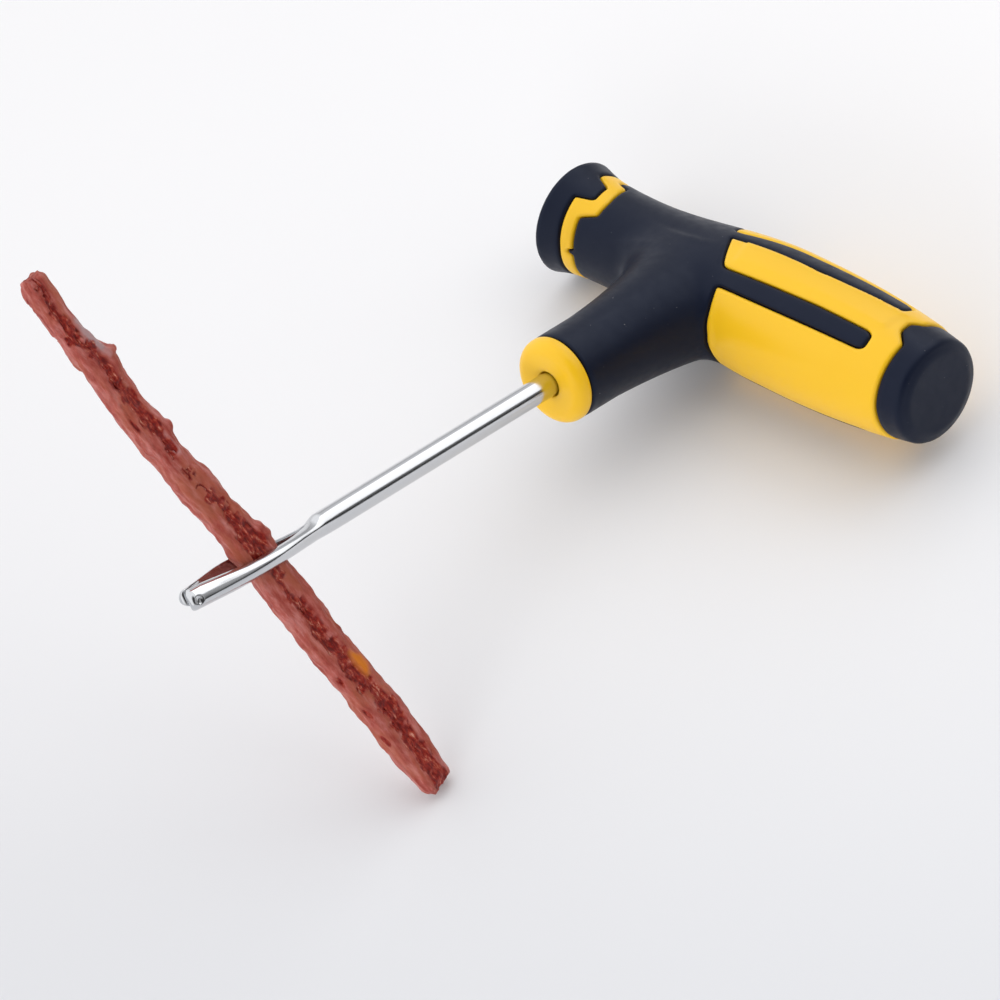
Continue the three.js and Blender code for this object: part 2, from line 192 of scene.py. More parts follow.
# ---- Camera, in the tool's frame ----
CAMERA_RIGHT = (0.716, 0.696, -0.051)
CAMERA_BACK = (0.5985, -0.5755, 0.5573)
CAMERA_AIM = (-14.8, -47.3, -33.2)
CAMERA_DISTANCE = 3954.0
CAMERA_LENS = 724.8


def tool_frame():
    mounts = {mount["name"]: mount for mount in frame["record"]["mounts"]}
    left_face = Vector(mounts["left_end_face"]["pos_m"])
    grip_axis = Vector(mounts["right_end_face"]["axis"]).normalized()
    grip_turn = Matrix.Rotation(math.radians(-GRIP_RISE), 3, "Y")
    turn = grip_turn @ Matrix.Rotation(math.radians(-NEEDLE_RISE), 3, "X")
    return Matrix.Translation(left_face - grip_axis * LEFT_X * MM) @ turn.to_4x4(), turn


tool_to_row, tool_turn = tool_frame()


# ---- Camera ----

def add_camera():
    right = Vector(CAMERA_RIGHT).normalized()
    back = (Vector(CAMERA_BACK) - right * right.dot(Vector(CAMERA_BACK))).normalized()
    axes = Matrix((right, back.cross(right), back)).transposed()
    place = Vector(CAMERA_AIM) + back * CAMERA_DISTANCE
    data = bpy.data.cameras.new("camera")
    data.lens = CAMERA_LENS
    camera = bpy.data.objects.new("camera", data)
    camera.matrix_world = Matrix.Translation(tool_to_row @ (place * MM)) @ (tool_turn @ axes).to_4x4()
    bpy.context.scene.collection.objects.link(camera)
    bpy.context.scene.camera = camera


add_camera()


# ---- Materials ----

class Finish:
    """A material with a Principled shader and short names for the nodes that feed it."""

    def __init__(self, name, **values):
        self.material = bpy.data.materials.new(name)
        self.material.use_nodes = True
        self.nodes = self.material.node_tree.nodes
        self.links = self.material.node_tree.links
        self.shader = self.nodes["Principled BSDF"]
        self.place = self.nodes.new("ShaderNodeTexCoord").outputs["Object"]
        for socket, value in values.items():
            self.shader.inputs[socket.replace("_", " ")].default_value = value

    def noise(self, scale, detail=3.0, stretch=None, roughness=0.5, distortion=0.0):
        node = self.nodes.new("ShaderNodeTexNoise")
        node.inputs["Scale"].default_value = scale
        node.inputs["Detail"].default_value = detail
        node.inputs["Roughness"].default_value = roughness
        node.inputs["Distortion"].default_value = distortion
        self.links.new(self.stretched(stretch), node.inputs["Vector"])
        return node.outputs["Fac"]

    def stretched(self, stretch):
        if stretch is None:
            return self.place
        node = self.nodes.new("ShaderNodeMapping")
        node.inputs["Scale"].default_value = stretch
        self.links.new(self.place, node.inputs["Vector"])
        return node.outputs["Vector"]

    def ramp(self, source, stops):
        node = self.nodes.new("ShaderNodeValToRGB")
        while len(node.color_ramp.elements) < len(stops):
            node.color_ramp.elements.new(0.5)
        for element, (position, colour) in zip(node.color_ramp.elements, stops):
            element.position = position
            element.color = (*colour, 1)
        self.links.new(source, node.inputs["Fac"])
        return node.outputs["Color"]

    def span(self, source, low, high, to_low, to_high):
        node = self.nodes.new("ShaderNodeMapRange")
        for socket, value in zip(("From Min", "From Max", "To Min", "To Max"), (low, high, to_low, to_high)):
            node.inputs[socket].default_value = value
        self.links.new(source, node.inputs["Value"])
        return node.outputs["Result"]

    def mix(self, share, a, b):
        node = self.nodes.new("ShaderNodeMix")
        node.data_type = "RGBA"
        self.links.new(share, node.inputs["Factor"])
        for socket, colour in ((6, a), (7, b)):
            if isinstance(colour, tuple):
                node.inputs[socket].default_value = (*colour, 1)
            else:
                self.links.new(colour, node.inputs[socket])
        return node.outputs[2]

    def attribute(self, name, output):
        node = self.nodes.new("ShaderNodeAttribute")
        node.attribute_name = name
        return node.outputs[output]

    def feed(self, socket, source):
        self.links.new(source, self.shader.inputs[socket])

    def bump(self, layers):
        """Bumps one over another, each as (height, strength, distance in mm)."""
        below = None
        for height, strength, distance in layers:
            node = self.nodes.new("ShaderNodeBump")
            node.inputs["Strength"].default_value = strength
            node.inputs["Distance"].default_value = distance * MM
            self.links.new(height, node.inputs["Height"])
            if below is not None:
                self.links.new(below, node.inputs["Normal"])
            below = node.outputs["Normal"]
        self.feed("Normal", below)


def yellow_plastic():
    finish = Finish("hard_yellow", IOR=1.42, Subsurface_Weight=0.08, Subsurface_Scale=0.002)
    finish.shader.inputs["Subsurface Radius"].default_value = (1.0, 0.6, 0.1)
    cloud = finish.noise(60, 2)
    finish.feed("Base Color", finish.mix(cloud, (0.96, 0.55, 0.01), (0.98, 0.575, 0.016)))
    finish.feed("Roughness", finish.span(finish.noise(900, 4), 0.35, 0.65, 0.3, 0.38))
    finish.bump([(finish.noise(250, 2), 0.05, 0.1), (finish.noise(2500, 3), 0.04, 0.02)])
    return finish.material


def soft_black():
    finish = Finish("soft_black", IOR=1.3, Specular_Tint=(0.72, 0.8, 1, 1))
    cloud = finish.noise(90, 3)
    dust = finish.span(finish.noise(1400, 2), 0.76, 0.79, 0, 1)
    skin = finish.mix(cloud, (0.005, 0.0075, 0.019), (0.007, 0.0105, 0.025))
    finish.feed("Base Color", finish.mix(dust, skin, (0.16, 0.16, 0.17)))
    finish.feed("Roughness", finish.span(finish.noise(500, 4), 0.3, 0.7, 0.36, 0.48))
    finish.bump([(finish.noise(300, 2), 0.1, 0.1), (finish.noise(3500, 3), 0.12, 0.03)])
    return finish.material


def chrome():
    finish = Finish("chrome", Metallic=1.0)
    finish.feed("Base Color", finish.mix(finish.noise(150, 3), (0.6, 0.61, 0.63), (0.64, 0.65, 0.665)))
    finish.feed("Roughness", finish.span(finish.noise(2000, 3, (1, 0.05, 1)), 0.3, 0.7, 0.11, 0.17))
    finish.bump([(finish.noise(260, 2), 0.04, 0.1)])
    return finish.material


YELLOW = yellow_plastic()
BLACK = soft_black()
CHROME = chrome()


# ---- Making pieces ----

def make_piece(name, points, faces, material, body, slot, replaces=()):
    """A smooth mesh of tool-frame points, merged where they meet and cleared of empty faces."""
    mesh = bpy.data.meshes.new(name)
    mesh.from_pydata([tuple(p) for p in np.asarray(points, float) * MM], [], [tuple(f) for f in faces])
    tidy = bmesh.new()
    tidy.from_mesh(mesh)
    bmesh.ops.remove_doubles(tidy, verts=tidy.verts, dist=MERGE * MM)
    bmesh.ops.dissolve_degenerate(tidy, edges=tidy.edges, dist=SLIVER * MM)
    loose = [v for v in tidy.verts if not v.link_faces]
    bmesh.ops.delete(tidy, geom=loose, context="VERTS")
    tidy.to_mesh(mesh)
    tidy.free()
    mesh.transform(tool_to_row)
    mesh.shade_smooth()
    mesh.materials.append(material)
    piece = bpy.data.objects.new(name, mesh)
    bpy.context.scene.collection.objects.link(piece)
    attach(piece, body)
    if replaces:
        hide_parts(*replaces)
    return piece


def lofted(rings, close_start=False, close_end=False):
    """Faces between equal closed rings of points, listed from one end to the other."""
    count = len(rings[0])
    points = np.concatenate(rings)
    faces = []
    for ring in range(len(rings) - 1):
        for i in range(count):
            a, b = ring * count + i, ring * count + (i + 1) % count
            faces.append((a, b, b + count, a + count))
    if close_start:
        faces.append(tuple(range(count))[::-1])
    if close_end:
        last = (len(rings) - 1) * count
        faces.append(tuple(range(last, last + count)))
    return points, faces


# ---- Handle surface ----

def handle_radius(x):
    flared = WAIST_R + FLARE * np.clip((WAIST_X - x) / (WAIST_X - LEFT_X), 0, None) ** 3
    ramp = (1 - np.cos(np.pi * np.clip((x - WAIST_X) / (BULGE_X - WAIST_X), 0, 1))) / 2
    grip = WAIST_R + (BULGE_R - WAIST_R) * ramp - TAPER * (np.clip(x - TAPER_X, 0, None) / TAPER_LENGTH) ** 2
    return np.where(x < WAIST_X, flared, grip)


def handle_field(points):
    """About the distance outside the handle: the arms and the neck, melted into each other."""
    x, s, z = points[:, 0], -points[:, 1], points[:, 2]
    arms = np.hypot(s, z) - handle_radius(x)
    near = np.clip((FILLET_START - s) / (FILLET_START - FILLET_END), 0, 1)
    half_width = NECK_R + np.where(x > 0, FILLET_WIDTH_RIGHT, FILLET_WIDTH_LEFT) * (1 - np.sqrt(1 - near**2))
    half_depth = NECK_R + (NECK_DEPTH_R - NECK_R) * near
    neck = (np.hypot(x / half_width, z / half_depth) - 1) * half_depth
    neck = np.maximum(neck, NECK_START - s)
    close = np.clip(MELT - np.abs(arms - neck), 0, None)
    return np.minimum(arms, neck) - close**2 / (4 * MELT)


def out_to_surface(starts, directions, reach):
    low, high = np.zeros(len(starts)), np.full(len(starts), float(reach))
    for _ in range(36):
        middle = (low + high) / 2
        inside = handle_field(starts + directions * middle[:, None]) < 0
        low, high = np.where(inside, middle, low), np.where(inside, high, middle)
    return low


def handle_normals(points):
    slopes = []
    for axis in np.eye(3) * 0.05:
        slopes.append(handle_field(points + axis) - handle_field(points - axis))
    normals = np.stack(slopes, axis=1)
    return normals / np.linalg.norm(normals, axis=1)[:, None]


def end_profile(u):
    """x and drop for profile distances: these are x itself up to an end, then go round its edge."""
    radius = [handle_radius(np.array(LEFT_X)), handle_radius(np.array(RIGHT_X)) - CAP_STEP]
    x, drop = u.copy(), np.zeros(len(u))
    for side, end, face_radius in ((-1, LEFT_X, radius[0]), (1, RIGHT_X, radius[1])):
        corners = np.array(END_PROFILE + [(0, float(face_radius))])
        lengths = np.concatenate([[0], np.cumsum(np.hypot(*np.diff(corners, axis=0).T))])
        past = side * (u - end) + corners[0, 0]
        at_end = past > 0
        x[at_end] = end - side * np.interp(past[at_end], lengths, corners[:, 0])
        drop[at_end] = np.interp(past[at_end], lengths, corners[:, 1])
    return x, drop


def face_centre(side):
    """The profile distance of an end face's centre."""
    end, step = (RIGHT_X, CAP_STEP) if side > 0 else (LEFT_X, 0)
    corners = np.array(END_PROFILE + [(0, float(handle_radius(np.array(end))) - step)])
    return end + side * (np.hypot(*np.diff(corners, axis=0).T).sum() - corners[0, 0])


def handle_points(u, q, depth):
    """Places for profile distance u and girth distance q, at a depth below the surface."""
    x, drop = end_profile(u)
    angle = q / GIRTH_R
    outward = np.stack([np.zeros(len(q)), -np.sin(angle), np.cos(angle)], axis=1)
    axis = np.stack([x, np.zeros(len(q)), np.zeros(len(q))], axis=1)
    distance = out_to_surface(axis, outward, 24)
    surface = axis + outward * distance[:, None]
    lowered = surface - handle_normals(surface) * depth[:, None]
    radial = np.linalg.norm(lowered[:, 1:], axis=1) - drop
    at_end = drop > 0
    lowered[at_end] = axis[at_end] + outward[at_end] * np.clip(radial[at_end], 0, None)[:, None]
    return lowered


# ---- Borders between the colours ----

def resampled(path, spacing):
    steps = np.hypot(*np.diff(path, axis=0).T)
    along = np.concatenate([[0], np.cumsum(steps)])
    count = max(2, round(along[-1] / spacing))
    at = np.linspace(0, along[-1], count + 1)
    return np.stack([np.interp(at, along, path[:, 0]), np.interp(at, along, path[:, 1])], axis=1)


def border(half, rounding=4):
    """One turn of a border as (u, q) points 0.3 mm apart, its corners rounded."""
    both = half + [(180 - angle, x) for angle, x in half[-2::-1]]
    path = np.array([(x, math.radians(angle) * GIRTH_R) for angle, x in both])
    path = resampled(path, 0.3)[:-1]
    for _ in range(rounding):
        before, after = np.roll(path, 1, axis=0), np.roll(path, -1, axis=0)
        before[0, 1] -= PERIOD
        after[-1, 1] += PERIOD
        path = (before + 2 * path + after) / 4
    return path


class Border:
    """One turn of a border, drawn three times over so that it has no ends, with a search tree."""

    def __init__(self, half):
        self.path = border(half)
        self.line = np.concatenate([self.path + (0, PERIOD * turn) for turn in (-1, 0, 1)])
        along = np.gradient(self.line, axis=0)
        along /= np.linalg.norm(along, axis=1)[:, None]
        self.normals = np.stack([along[:, 1], -along[:, 0]], axis=1)
        self.tree = KDTree(len(self.line))
        for i, (u, q) in enumerate(self.line):
            self.tree.insert((u, q, 0), i)
        self.tree.balance()

    def distance(self, points):
        """Signed distance of points, positive on the border's +X side."""
        nearest = np.array([self.tree.find((u, q, 0))[1] for u, q in points])
        nearest = np.clip(nearest, 1, len(self.line) - 2)
        here = self.line[nearest]
        gaps = []
        for step in (-1, 1):
            edge = self.line[nearest + step] - here
            share = np.clip(((points - here) * edge).sum(1) / (edge**2).sum(1), 0, 1)
            gaps.append(np.linalg.norm(points - here - edge * share[:, None], axis=1))
        side = ((points - here) * self.normals[nearest]).sum(1)
        return np.where(side > 0, 1, -1) * np.minimum(*gaps)

    def row(self, distance):
        """The border's one turn moved sideways, and which of its points are still that far away."""
        count = len(self.path)
        row = self.path + self.normals[count : 2 * count] * distance
        return row, np.abs(self.distance(row) - distance) < 0.03 + 0.05 * abs(distance)


BORDERS = [Border(half) for half in (CAP_EDGE_LEFT, SADDLE_EDGE_LEFT, SADDLE_EDGE_RIGHT, CAP_EDGE_RIGHT)]


def inside_region(points, region):
    """Distance inside the region between the borders numbered region - 1 and region."""
    distance = np.full(len(points), np.inf)
    if region > 0:
        distance = np.minimum(distance, BORDERS[region - 1].distance(points))
    if region < len(BORDERS):
        distance = np.minimum(distance, -BORDERS[region].distance(points))
    return distance


def lip_rows(region, lip):
    """Rows of points that follow the region's borders, one for each step of its lip."""
    rows = []
    for number, side in ((region - 1, 1), (region, -1)):
        if 0 <= number < len(BORDERS):
            rows += [BORDERS[number].row(side * distance) for distance, _ in lip]
    return rows


def field_grid(low, high, spacing):
    """A staggered grid over one turn, slightly uneven so that no four points share a circle."""
    columns = round(PERIOD / spacing)
    rows = max(2, round((high - low) / (spacing * 0.87)))
    i, j = np.meshgrid(np.arange(columns), np.arange(rows + 1))
    u = low + (high - low) * j / rows
    q = SEAM + PERIOD * (i + 0.5 * (j % 2)) / columns
    wobble = 0.03 * spacing
    q = q + wobble * np.sin(i * 12.9898 + j * 78.233)
    inner = (j > 0) & (j < rows)
    u = u + np.where(inner, wobble * np.sin(i * 39.425 + j * 11.135), 0)
    return np.stack([u.ravel(), q.ravel()], axis=1)


def neck_loop(s, count=110):
    """A ring round the neck at a distance along it, as (u, q) points."""
    turn = np.arange(count) / count * 2 * np.pi
    outward = np.stack([np.cos(turn), np.zeros(count), np.sin(turn)], axis=1)
    centre = np.tile([0.0, -s, 0.0], (count, 1))
    places = centre + outward * out_to_surface(centre, outward, 30)[:, None]
    return np.stack([places[:, 0], np.arctan2(s, places[:, 2]) * GIRTH_R], axis=1)


def inside_loop(points, loop):
    """Whether each point is inside a closed loop, by counting the loop's crossings beside it."""
    following = np.roll(loop, -1, axis=0)
    edge = following - loop
    crosses = (loop[:, 1] > points[:, None, 1]) != (following[:, 1] > points[:, None, 1])
    rise = np.where(edge[:, 1] == 0, 1, edge[:, 1])
    at = loop[:, 0] + (points[:, None, 1] - loop[:, 1]) / rise * edge[:, 0]
    return (crosses & (at < points[:, None, 0])).sum(1) % 2 == 1


def distance_to_loop(points, loop):
    return np.linalg.norm(points[:, None] - loop, axis=2).min(1)


def region_mesh(region, lip, low, high, step=0.0, hole=None):
    """The handle's skin over one region, with its lips. A hole leaves room for the neck."""
    grid = field_grid(low, high, GRID_SPACING)
    clear = inside_region(grid, region) > lip[0][0] + 0.2
    points = []
    if hole is not None:
        for s in NECK_ROWS:
            loop = neck_loop(s)
            loop = loop[inside_region(loop, region) > lip[0][0] + 0.1]
            clear &= distance_to_loop(grid, loop) > GRID_CLEARANCE
            points.append(loop)
        clear &= ~inside_loop(grid, hole) & (distance_to_loop(grid, hole) > GRID_CLEARANCE)
    points.append(grid[clear])
    edges, total = [], sum(len(group) for group in points)
    for row, keep in lip_rows(region, lip):
        number = np.cumsum(keep) - 1 + total
        joined = [(number[i], number[i + 1]) for i in range(len(row) - 1) if keep[i] and keep[i + 1]]
        edges += joined
        points.append(row[keep])
        total += int(keep.sum())
    if hole is not None:
        edges += [(total + i, total + (i + 1) % len(hole)) for i in range(len(hole))]
        points.append(hole)
    points = np.concatenate(points)
    return turned_skin(points, edges, region, lip, step, hole)


def turned_skin(points, edges, region, lip, step, hole):
    """Triangles over one turn of (u, q) points, closed across the seam, and lowered by the lip."""
    count = len(points)
    low_side = points[:, 1] < SEAM + SEAM_MARGIN
    high_side = points[:, 1] > SEAM + PERIOD - SEAM_MARGIN
    ghosts = []
    ghost_edges = []
    for chosen, shift in ((low_side, PERIOD), (high_side, -PERIOD)):
        number = np.cumsum(chosen) - 1 + count + sum(len(g) for g in ghosts)
        ghost_edges += [(number[a], number[b]) for a, b in edges if chosen[a] and chosen[b]]
        ghosts.append(points[chosen] + (0, shift))
    everything = np.concatenate([points, *ghosts])
    flat, _, triangles, *_ = delaunay_2d_cdt(
        [Vector(p) for p in everything], edges + ghost_edges, [], 0, 1e-5, False
    )
    flat = np.array([tuple(v) for v in flat])
    triangles = np.array([tuple(t) for t in triangles])
    middle = flat[triangles].mean(1)
    kept = (middle[:, 1] >= SEAM) & (middle[:, 1] < SEAM + PERIOD)
    kept &= inside_region(middle, region) > lip[-1][0] - 1e-3
    if hole is not None:
        kept &= ~inside_loop(middle, hole)
    triangles = triangles[kept]
    a, b, c = (flat[triangles[:, k]] for k in range(3))
    turn = (b - a)[:, 0] * (c - a)[:, 1] - (b - a)[:, 1] * (c - a)[:, 0]
    triangles[turn > 0] = triangles[turn > 0][:, ::-1]
    used, triangles = np.unique(triangles, return_inverse=True)
    triangles = triangles.reshape(-1, 3)
    flat = flat[used]
    distances, depths = np.array(lip[::-1]).T
    depth = np.interp(inside_region(flat, region), distances, depths)
    if region == GRIP_REGION:
        depth = depth - pad_height(flat)
    return handle_points(flat[:, 0], flat[:, 1], depth + step), triangles


def pad_height(flat):
    """How far the raised pad lifts the grip's skin at (u, q) points."""
    loop = resampled(np.array([(x, math.radians(angle) * GIRTH_R) for angle, x in PAD + PAD[:1]]), 0.4)[:-1]
    distance = distance_to_loop(flat, loop)
    signed = np.where(inside_loop(flat, loop), distance, -distance)
    share = np.clip(signed / PAD_SLOPE + 0.5, 0, 1)
    return PAD_HEIGHT * share * share * (3 - 2 * share)


def neck_mesh(loop_count):
    """The neck from the arms' mesh to its end, with the lip that faces the nose collar."""
    stations = list(np.linspace(COLLAR_S, NECK_END - 0.7, 38))
    depths = [0.0] * len(stations)
    for back, depth in ((0.4, 0.05), (0.18, 0.15), (0.05, 0.32), (0, 0.6), (0.02, 2.4)):
        stations.append(NECK_END - back)
        depths.append(depth)
    turn = np.arange(loop_count) / loop_count * 2 * np.pi
    outward = np.stack([np.cos(turn), np.zeros(loop_count), np.sin(turn)], axis=1)
    rings = []
    for s, depth in zip(stations, depths):
        centre = np.tile([0.0, -s, 0.0], (loop_count, 1))
        reach = out_to_surface(centre, outward, 30) - depth
        rings.append(centre + outward * reach[:, None])
    return lofted(rings)


def handle_pieces():
    yellow = {"material": YELLOW, "body": "tool", "slot": "hard_yellow"}
    black = {"material": BLACK, "body": "tool", "slot": "soft_black"}
    points, faces = region_mesh(LEFT_REGION, BLACK_LIP, face_centre(-1), -28)
    make_piece("left_end_cap_skin", points, faces, replaces=["left_end_cap"], **black)
    points, faces = region_mesh(BAND_REGION, YELLOW_LIP, -34, -24)
    make_piece("core_band", points, faces, replaces=["handle_core"], **yellow)
    hole = neck_loop(COLLAR_S)
    points, faces = region_mesh(SADDLE_REGION, BLACK_LIP, -31, 51, hole=hole)
    neck_points, neck_faces = neck_mesh(len(hole))
    joined = [tuple(f) for f in faces] + [tuple(i + len(points) for i in f) for f in neck_faces]
    points = np.concatenate([points, neck_points])
    make_piece("saddle_skin", points, joined, replaces=["saddle_grip"], **black)
    points, faces = region_mesh(GRIP_REGION, YELLOW_LIP, -1, 58)
    make_piece("core_grip", points, faces, replaces=["handle_core"], **yellow)
    points, faces = region_mesh(RIGHT_REGION, BLACK_LIP, 51, face_centre(1), step=CAP_STEP)
    make_piece("right_end_cap_skin", points, faces, replaces=["right_end_cap"], **black)
    make_piece("nose_ring", *nose_ring(), replaces=["nose_collar"], **yellow)


def turned_needlewise(profile, sides=96):
    rings = []
    turn = np.arange(sides) / sides * 2 * np.pi
    for r, s in profile:
        rings.append(np.stack([r * np.cos(turn), np.full(sides, -s), r * np.sin(turn)], axis=1))
    return lofted(rings)


def nose_ring():
    """The nose collar as (radius, s): its lip on the neck, the round front and the needle's bore."""
    profile = [(6.6, 43.55), (8.4, 43.38), (8.72, 43.42), (8.9, 43.55), (NOSE_R, 43.8), (NOSE_R, 44.1)]
    for degrees in range(0, 91, 9):
        turn = math.radians(degrees)
        radius = NOSE_R - NOSE_ROUND * (1 - math.cos(turn))
        profile.append((radius, NOSE_END - NOSE_ROUND * (1 - math.sin(turn))))
    profile += [(5.4, NOSE_END - 0.04), (4, NOSE_END - 0.16), (3, NOSE_END - 0.34), (2.75, NOSE_END - 0.5)]
    profile += [(2.66, NOSE_END - 0.8), (2.66, NOSE_END - 3)]
    return turned_needlewise(profile)


handle_pieces()


# ---- Needle ----

across = np.array([math.cos(math.radians(EYE_ANGLE)), 0, math.sin(math.radians(EYE_ANGLE))])
square = np.array([math.sin(math.radians(EYE_ANGLE)), 0, -math.cos(math.radians(EYE_ANGLE))])


def eased(points, at, window=2.5):
    """The line through (position, value) points with its corners rounded, read at other positions."""
    positions, values = np.array(points, float).T
    shifts = np.linspace(-1, 1, 17)
    weights = 1 + np.cos(np.pi * shifts)
    samples = np.interp(np.add.outer(at, shifts * window), positions, values)
    return samples @ weights / weights.sum()


def smoothstep(low, high, at):
    share = np.clip((at - low) / (high - low), 0, 1)
    return share * share * (3 - 2 * share)


def prong_section(s, side):
    """A prong's outer and inner outline at s, as places. Before the fork only the outer one counts."""
    flat = eased(NEAR_FLAT if side > 0 else FAR_FLAT, s, 1.2) * smoothstep(FORK_S, FORK_S + 2, s)
    crown = eased(NEAR_CROWN if side > 0 else FAR_CROWN, s, 4)
    rise = 0 if side > 0 else eased(FAR_RISE, s, 4)
    to_tip = min(max((TIP_S - s) / TIP_ROUND, 0), 1)
    size = max(0.06, math.sqrt(1 - (1 - to_tip) ** 2))
    middle = (flat + crown) / 2
    flat, crown = middle + (flat - middle) * size, middle + (crown - middle) * size
    turn = np.linspace(-90, 90, 33) * math.pi / 180
    above = eased(NEAR_ABOVE if side > 0 else FAR_ABOVE, s, 0.8)
    b = np.sin(turn) * np.where(turn < 0, above, eased(BELOW, s)) * size - rise
    outer = flat + (crown - flat) * np.cos(turn)
    if side > 0:
        reach = np.hypot(s - DIMPLE_S, b - DIMPLE_B)
        outer = outer - DIMPLE_DEPTH * np.exp(-((reach / DIMPLE_R) ** 4))
    opened = smoothstep(FORK_S, FORK_S + 3, s)
    inner = flat - 0.25 * opened * size * np.cos(turn) ** 0.5
    inner = np.where(np.abs(np.sin(turn)) > 0.999, outer, inner)
    base = np.array([0, -s, 0])
    return [base + across * side * a[:, None] + square * b[:, None] for a in (outer, inner)]


def needle_mesh():
    stations = list(np.linspace(NOSE_END - 3, FORK_S - 5, 40)) + list(np.linspace(FORK_S - 4.7, FORK_S, 36))
    rings = []
    for s in stations:
        near, far = prong_section(s, 1)[0], prong_section(s, -1)[0]
        rings.append(np.concatenate([near, far[::-1]]))
    points, faces = lofted(rings, close_start=True)
    points, faces = [points], list(faces)
    total = len(points[0])
    body = list(np.linspace(FORK_S, TIP_S - TIP_ROUND - 2.4, 90))
    tip = list(np.linspace(TIP_S - TIP_ROUND - 2.3, TIP_S - 0.002, 60))
    for side in (1, -1):
        loops = []
        for s in body + tip:
            outer, inner = prong_section(s, side)
            loop = np.concatenate([outer, inner[-2:0:-1]])
            loops.append(loop if side > 0 else loop[::-1])
        branch, branch_faces = lofted(loops, close_end=True)
        points.append(branch)
        faces += [tuple(i + total for i in face) for face in branch_faces]
        total += len(branch)
    return np.concatenate(points), faces


make_piece("needle_body", *needle_mesh(), CHROME, "tool", "steel", ["needle"])


# ---- Plug strip ----

lean = math.radians(STRIP_LEAN)
strip_down = square * math.cos(lean) + np.array([0, math.sin(lean), 0])
strip_wide = np.array([0, math.cos(lean), 0]) - square * math.sin(lean)
strip_middle = np.array([0, -EYE_S, 0]) + across * STRIP_SHIFT


def strip_lower_end():
    """Distance down to the rounded lower end, just short of the CAD solid's square end."""
    to_tool = tool_to_row.inverted()
    places = [to_tool @ vertex.co for vertex in frame["nodes"]["strip_strand_front"].data.vertices]
    square_end = max(float((np.array(place) / MM - strip_middle) @ strip_down) for place in places)
    return square_end - LOWER_END_SHORT


def fractal(place, octaves=3):
    total, weight = 0.0, 1.0
    for _ in range(octaves):
        total += weight * noise.noise(place)
        place = place * 2.03
        weight *= 0.5
    return total


def strand_stations(lower_end):
    near_end = [0.02, 0.1, 0.25, 0.45, 0.7, 1.0]
    top, bottom = -STRIP_UP + 0.05, lower_end - 0.05
    middle = np.arange(top + END_ROUND, bottom - END_ROUND, STRAND_STEP)
    return np.concatenate([[top + d for d in near_end], middle, [bottom - d for d in near_end[::-1]]])


def crevice(t):
    """Where the torn crevice along the strip runs, as (distance across, half-width)."""
    downs, middles, half_widths = zip(*CREVICE)
    return np.interp(t, downs, middles), np.interp(t, downs, half_widths)


def rubber_relief(across_strip, deep, t):
    """Height of the rubber's surface over its smooth form, and how much of it is torn open, 0 to 1."""
    middle, half_width = crevice(t)
    wander = fractal(Vector((across_strip * 0.6, deep * 0.2 + 11, t * 0.3)), 4)
    gap = abs(across_strip - middle + 1.3 * wander) / half_width
    torn = max(0.0, min(1.0, (1.25 - gap) * 2.5))
    pit = noise.noise(Vector((across_strip * 0.5 + 50, deep * 0.45, t * 0.2)))
    torn = max(torn, max(0.0, min(1.0, (pit - 0.46) * 6)))
    lump = fractal(Vector((across_strip * 0.3 + 20, deep * 0.3, t * 0.15)), 2)
    knob = noise.noise(Vector((across_strip * 0.5 + 5, deep * 0.5, t * 0.5)))
    strake = noise.noise(Vector((across_strip * 1.5, deep * 1.5, t * 0.18 + 40)))
    crumb = fractal(Vector((across_strip * 1.5, deep * 1.5, t * 0.6 + 70)), 2)
    height = 0.4 * lump + 0.25 * knob + 0.3 * strake - 0.45 * torn + (0.08 + 0.45 * torn) * crumb
    for place, half_length, bump in EDGE_BUMPS:
        height += bump * math.exp(-(((t - place) / half_length) ** 4)) * smoothstep(1.5, 3, across_strip)
    return height, torn


def strand_form(side, t, size=1.0):
    """A strand's sway, its middle and half-width across the strip, and its half-thickness."""
    half = float(eased(STRIP_GIRTH, t)) * (0.6 + 0.4 * size)
    seam = SEAM_ACROSS - side * SEAM_OVERLAP
    thick = STRAND_THICK * (0.86 + 0.03 * half) * (0.5 + 0.5 * size)
    return float(eased(STRIP_SWAY, t)), (side * half + seam) / 2, (half - side * seam) / 2, thick


def yarn_mesh(side, number, lower_end):
    """One of the yarns inside a strand, which bends as the strand does."""
    turn = np.arange(12) / 12 * 2 * np.pi
    outward = np.outer(np.cos(turn), strip_wide) + np.outer(np.sin(turn), across)
    angle = 2 * math.pi * number / YARNS
    rings = []
    for t in np.linspace(YARN_RECESS - STRIP_UP, lower_end - YARN_RECESS, 70):
        sway, middle, own_half, thick = strand_form(side, t)
        beside = sway + middle + YARN_CIRCLE * own_half * math.cos(angle)
        deep = YARN_CIRCLE * thick * math.sin(angle)
        centre = strip_middle + strip_down * t + strip_wide * beside + across * deep
        rings.append(centre + YARN_R * outward)
    return lofted(rings, close_start=True, close_end=True)


